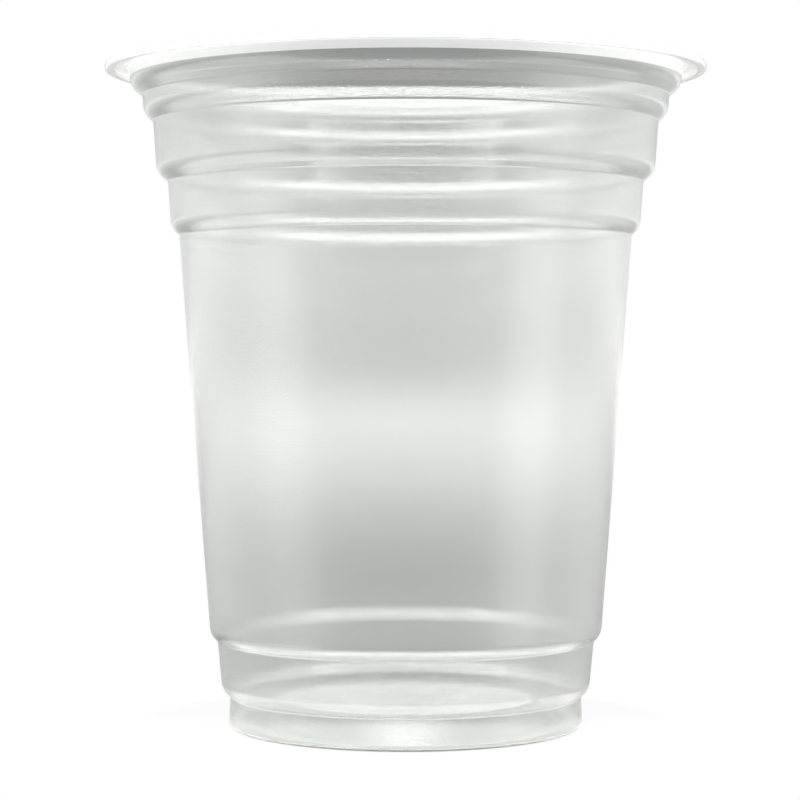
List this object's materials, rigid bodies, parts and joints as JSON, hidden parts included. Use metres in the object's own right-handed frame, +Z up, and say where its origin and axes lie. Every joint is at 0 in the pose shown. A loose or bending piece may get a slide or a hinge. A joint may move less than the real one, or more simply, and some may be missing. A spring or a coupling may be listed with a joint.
{
  "type": "disposable drinking cup",
  "caption": "Tapered thin-walled translucent plastic drinking cup with a flat rim flange, stepped stacking rings under the rim, a foot ring and a raised base.",
  "frame": {"origin": "centre of the foot, on the plane that the cup stands on", "axes": "+Z up along the cup's axis; +X and +Y are alike, because the cup is round"},
  "size_m": [0.095, 0.095, 0.1046],
  "materials": {
    "clear_plastic": "translucent, slightly hazy, smooth gloss"
  },
  "bodies": {
    "root": {"cup": "clear_plastic"}
  },
  "joints": []
}
